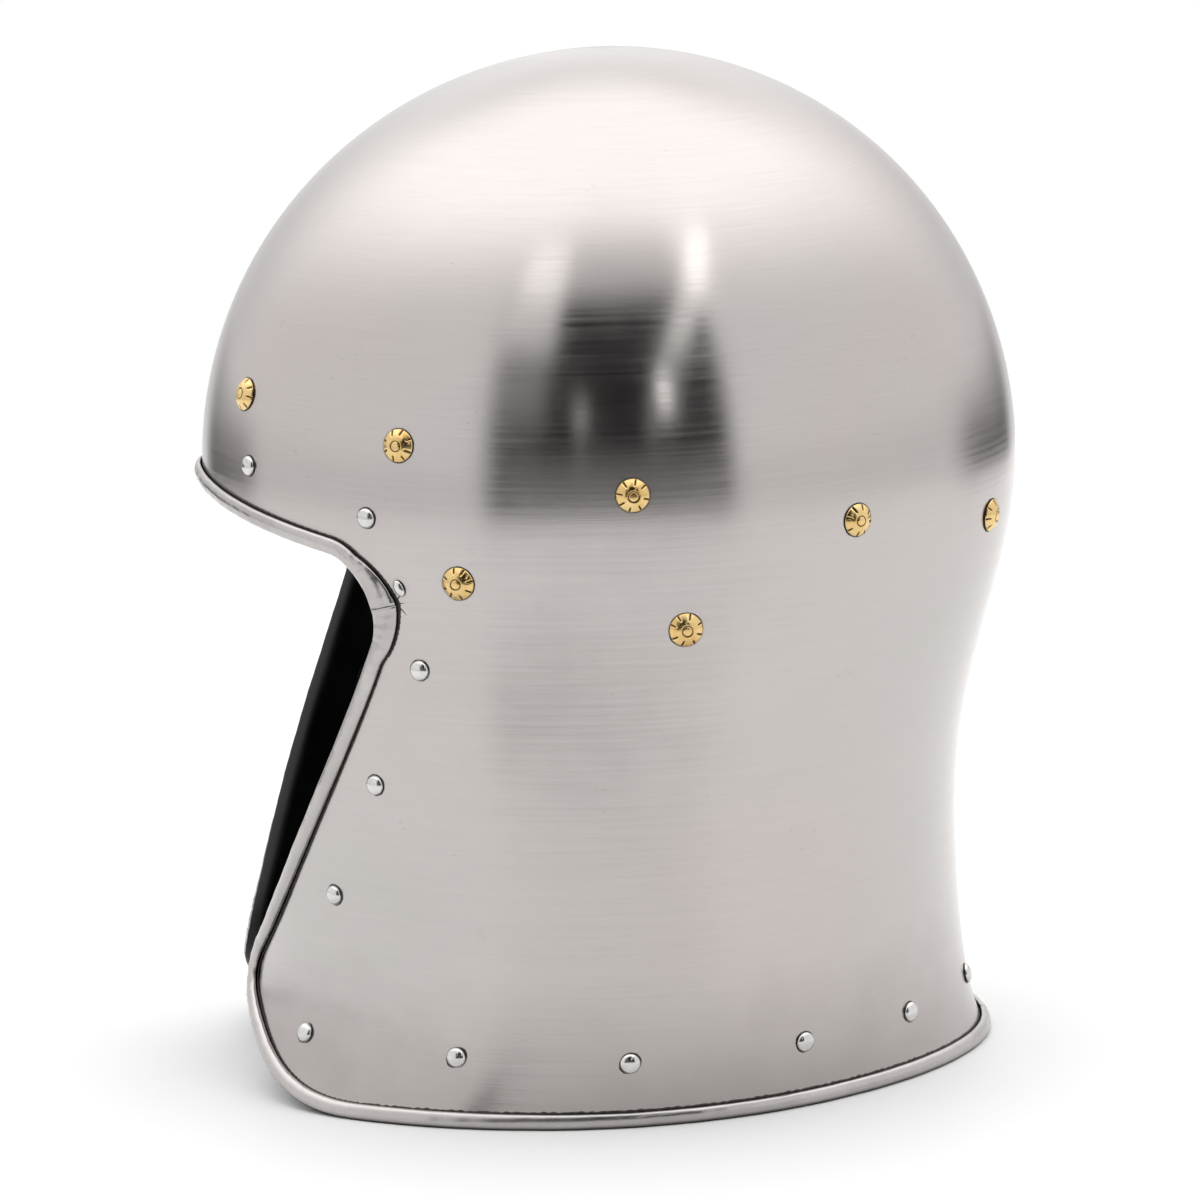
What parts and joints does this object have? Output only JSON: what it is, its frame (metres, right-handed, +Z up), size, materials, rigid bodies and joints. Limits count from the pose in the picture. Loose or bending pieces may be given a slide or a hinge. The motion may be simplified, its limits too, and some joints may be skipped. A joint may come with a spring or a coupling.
{
  "type": "knight helmet",
  "caption": "Open-faced steel knight helmet with a riveted rolled trim, brass lining rosettes, a leather suspension lining and a buckled chin strap.",
  "frame": {"origin": "middle of the footprint, on the surface the helmet stands on", "axes": "+Z up, the face opening looks along -Y, the wearer's left is +X"},
  "size_m": [0.2194, 0.2441, 0.3],
  "materials": {
    "skull_steel": "hand-finished satin with fine horizontal brushing and faint pits",
    "trim_steel": "brighter rolled edge, lightly worn",
    "rivet_steel": "polished domed heads",
    "rove_steel": "dull blackened washers",
    "rosette_brass": "low domes with cut ring and nicks, slightly aged",
    "strap_brass": "aged brass rivets",
    "buckle_brass": "cast and filed brass",
    "band_leather": "dark brown vegetable-tanned leather",
    "lobe_leather": "soft brown lining leather",
    "strap_leather": "dark brown strap leather with stitched edges",
    "cord": "twisted linen cord"
  },
  "bodies": {
    "helmet": {"skull": "skull_steel", "brow_trim": "trim_steel", "left_side_trim": "trim_steel", "right_side_trim": "trim_steel", "brow_rivets": "rivet_steel", "temple_rivets": "rivet_steel", "left_cheek_rivets": "rivet_steel", "right_cheek_rivets": "rivet_steel", "hem_rivets": "rivet_steel", "brow_roves": "rove_steel", "temple_roves": "rove_steel", "cheek_roves": "rove_steel", "hem_roves": "rove_steel", "lining_rosettes": "rosette_brass", "lining_roves": "rove_steel", "strap_rosettes": "rosette_brass", "strap_roves": "rove_steel", "lining_band": "band_leather", "lobe_1": "lobe_leather", "lobe_2": "lobe_leather", "lobe_3": "lobe_leather", "lobe_4": "lobe_leather", "lobe_5": "lobe_leather", "lobe_6": "lobe_leather", "lobe_7": "lobe_leather", "lobe_8": "lobe_leather", "lobe_cord": "cord", "left_front_leg": "strap_leather", "left_rear_leg": "strap_leather", "right_front_leg": "strap_leather", "right_rear_leg": "strap_leather", "left_swivel_rivet": "strap_brass", "right_swivel_rivet": "strap_brass"},
    "left_strap": {"left_chin_strap": "strap_leather", "strap_stitch_rivet": "strap_brass"},
    "right_strap": {"right_chin_strap": "strap_leather"},
    "keeper": {"strap_keeper": "strap_leather"},
    "frame_of_buckle": {"buckle_frame": "buckle_brass"},
    "prong": {"buckle_prong": "buckle_brass"}
  },
  "joints": [
    {"name": "left_strap_swing", "type": "hinge", "parent": "helmet", "child": "left_strap", "pos_m": [0.0874, -0.017, 0.104], "axis": [1, 0, 0], "range_deg": [-20, 35]},
    {"name": "right_strap_swing", "type": "hinge", "parent": "helmet", "child": "right_strap", "pos_m": [-0.0874, -0.017, 0.104], "axis": [1, 0, 0], "range_deg": [-20, 35]},
    {"name": "keeper_slide", "type": "slide", "parent": "left_strap", "child": "keeper", "axis": [0, 0, 1], "range_m": [0, 0.014]},
    {"name": "buckle_swing", "type": "hinge", "parent": "left_strap", "child": "frame_of_buckle", "pos_m": [0.08502, -0.017, 0.042], "axis": [0, 1, 0], "range_deg": [0, 80]},
    {"name": "prong_swing", "type": "hinge", "parent": "frame_of_buckle", "child": "prong", "pos_m": [0.08502, -0.017, 0.042], "axis": [0, 1, 0], "range_deg": [0, 60]}
  ]
}
